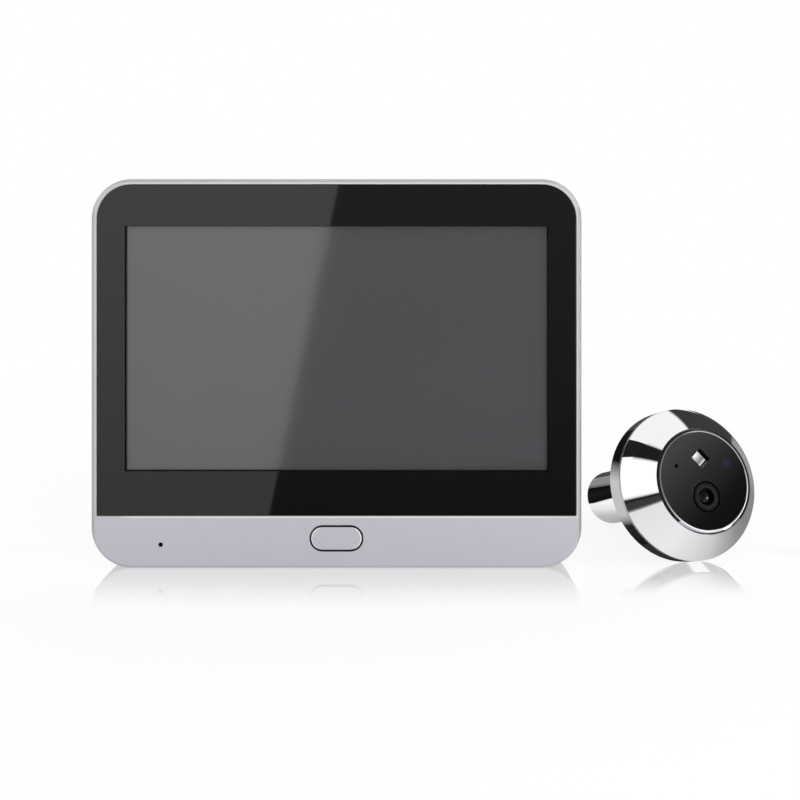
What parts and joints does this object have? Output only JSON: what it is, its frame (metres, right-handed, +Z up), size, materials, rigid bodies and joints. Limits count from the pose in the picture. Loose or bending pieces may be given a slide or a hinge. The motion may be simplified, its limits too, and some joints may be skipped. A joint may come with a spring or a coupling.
{
  "type": "peephole door camera",
  "caption": "Peephole door camera: an indoor monitor with a screen and a view button, and a chrome camera head on a short barrel that lies beside it.",
  "frame": {"origin": "centre of the lower face that the monitor stands on", "axes": "+Z up; the screen faces -Y; +X points to the right as seen from the front, towards the camera unit"},
  "size_m": [0.1517, 0.0491, 0.0872],
  "materials": {
    "silver_paint": "satin silver paint",
    "cover_glass": "gloss, black printed border",
    "tape": "adhesive tape",
    "foam": "closed-cell foam",
    "display": "matte polariser",
    "sheet_steel": "bright sheet",
    "black_plastic": "matte black",
    "circuit_board": "green solder mask",
    "chip_resin": "moulded resin",
    "ivory_plastic": "natural nylon",
    "battery_foil": "satin laminate foil",
    "speaker_black": "matte",
    "boot_rubber": "matte",
    "screw_steel": "plated",
    "chrome_plate": "polished chrome plating",
    "black_window": "gloss black",
    "lens_optic": "coated glass",
    "lamp_white": "white phosphor",
    "infrared_resin": "dark violet resin"
  },
  "bodies": {
    "monitor": {"front_housing": "silver_paint", "rear_cover": "silver_paint", "cover_glass": "cover_glass", "glass_tape": "tape", "display_gasket": "foam", "display_cell": "display", "backlight_tray": "sheet_steel", "button_switch": "black_plastic", "main_board": "circuit_board", "board_chips": "chip_resin", "ribbon_socket": "ivory_plastic", "usb_port": "sheet_steel", "card_slot": "sheet_steel", "switch_body": "black_plastic", "battery": "battery_foil", "battery_pad": "tape", "speaker": "speaker_black", "speaker_gasket": "foam", "microphone": "sheet_steel", "microphone_boot": "boot_rubber", "case_screws": "screw_steel", "board_screws": "screw_steel"},
    "view_button": {"view_button": "silver_paint", "switch_plunger": "black_plastic"},
    "power_knob": {"switch_knob": "black_plastic"},
    "camera_unit": {"head_shell": "chrome_plate", "front_window": "black_window", "lens_barrel": "black_plastic", "lens_glass": "lens_optic", "image_sensor": "chip_resin", "lamp": "lamp_white", "infrared_lamp": "infrared_resin", "camera_microphone": "sheet_steel", "camera_board": "circuit_board", "camera_socket": "ivory_plastic", "camera_screws": "screw_steel", "barrel": "chrome_plate", "flange_plate": "chrome_plate", "flange_screws": "screw_steel", "door_gasket": "foam"}
  },
  "joints": [
    {"name": "view_button_press", "type": "slide", "parent": "monitor", "child": "view_button", "axis": [0, 1, 0], "range_m": [0, 0.0005], "stiffness_N_per_m": 3000},
    {"name": "power_knob_slide", "type": "slide", "parent": "monitor", "child": "power_knob", "axis": [0, 0, 1], "range_m": [0, 0.002]},
    {"name": "camera_unit_lift", "type": "slide", "parent": "monitor", "child": "camera_unit", "axis": [0, 0, 1], "range_m": [0, 0.1]}
  ]
}
